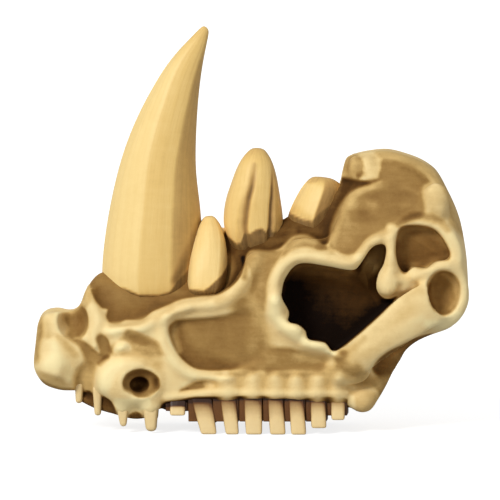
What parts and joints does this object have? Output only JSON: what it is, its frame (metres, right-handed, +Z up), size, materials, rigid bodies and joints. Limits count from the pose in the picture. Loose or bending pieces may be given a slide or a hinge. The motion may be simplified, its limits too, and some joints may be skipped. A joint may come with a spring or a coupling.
{
  "type": "rhinoceros skull",
  "caption": "Weathered rhinoceros skull without its lower jaw, with a tall curved nose horn, smaller horns behind it and upper teeth, standing on its worn cheek teeth.",
  "frame": {"origin": "on the surface that the worn cheek teeth stand on, below the middle of the skull's length and width", "axes": "+Z up, the snout towards -X, the skull's left side towards -Y"},
  "size_m": [0.6509, 0.2734, 0.6086],
  "materials": {
    "bone": "dry weathered bone, matte",
    "horn": "dry horn with fine lengthwise fibres",
    "enamel": "worn satin enamel over dentine"
  },
  "bodies": {
    "root": {"cranium": "bone", "nasal_horn": "horn", "second_horn": "horn", "frontal_horn": "horn", "third_horn": "horn", "front_tooth_1_left": "enamel", "front_tooth_2_left": "enamel", "front_tooth_3_left": "enamel", "front_tooth_4_left": "enamel", "cheek_tooth_1_left": "enamel", "cheek_tooth_2_left": "enamel", "cheek_tooth_3_left": "enamel", "cheek_tooth_4_left": "enamel", "cheek_tooth_5_left": "enamel", "cheek_tooth_6_left": "enamel", "cheek_tooth_7_left": "enamel", "cheek_tooth_8_left": "enamel", "front_tooth_1_right": "enamel", "front_tooth_2_right": "enamel", "front_tooth_3_right": "enamel", "front_tooth_4_right": "enamel", "cheek_tooth_1_right": "enamel", "cheek_tooth_2_right": "enamel", "cheek_tooth_3_right": "enamel", "cheek_tooth_4_right": "enamel", "cheek_tooth_5_right": "enamel", "cheek_tooth_6_right": "enamel", "cheek_tooth_7_right": "enamel", "cheek_tooth_8_right": "enamel"}
  },
  "joints": []
}
